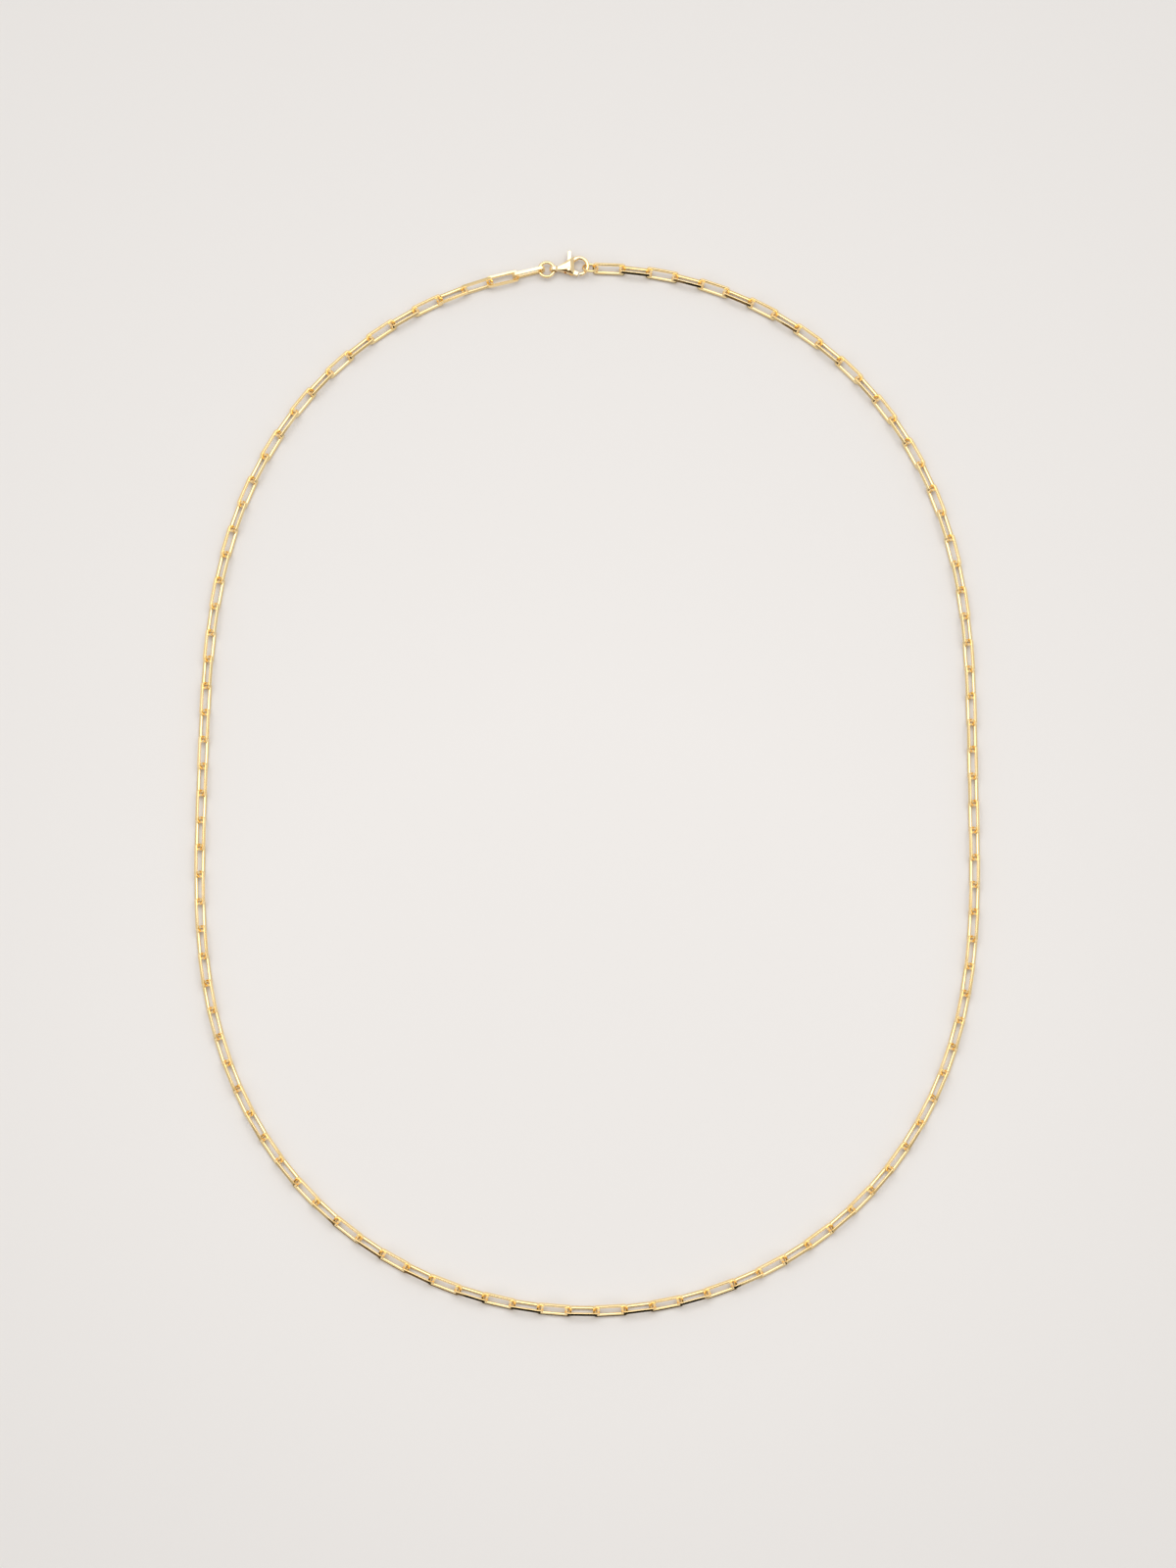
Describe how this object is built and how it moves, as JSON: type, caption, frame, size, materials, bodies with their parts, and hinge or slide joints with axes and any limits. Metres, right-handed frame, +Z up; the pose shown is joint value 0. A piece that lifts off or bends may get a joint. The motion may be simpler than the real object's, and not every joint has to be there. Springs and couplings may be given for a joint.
{
  "type": "cable chain necklace",
  "caption": "Gold cable chain of long rectangular links, closed by a lobster clasp and laid flat as an oval loop. It is worn round the neck, alone or with a pendant.",
  "frame": {"origin": "centre of the bounding box, on the surface that the chain lies on", "axes": "+Y along the oval towards the clasp, +X to the right seen from above with the clasp at the top, +Z up"},
  "size_m": [0.157, 0.2176, 0.0026],
  "materials": {
    "link_gold": "polished gold plate",
    "ring_gold": "polished gold plate",
    "clasp_gold": "polished gold plate"
  },
  "bodies": {
    "necklace": {"chain": "link_gold", "jump_ring": "ring_gold", "clasp_body": "clasp_gold", "lever_pin": "clasp_gold", "end_ring": "ring_gold"},
    "lever": {"clasp_lever": "clasp_gold"}
  },
  "joints": [
    {"name": "lever_hinge", "type": "hinge", "parent": "necklace", "child": "lever", "pos_m": [-0.00382, 0.10458, 0.0012], "axis": [0, 0, 1], "range_deg": [0, 24], "stiffness_Nm_per_rad": 0.006, "springref_deg": -5.73}
  ]
}
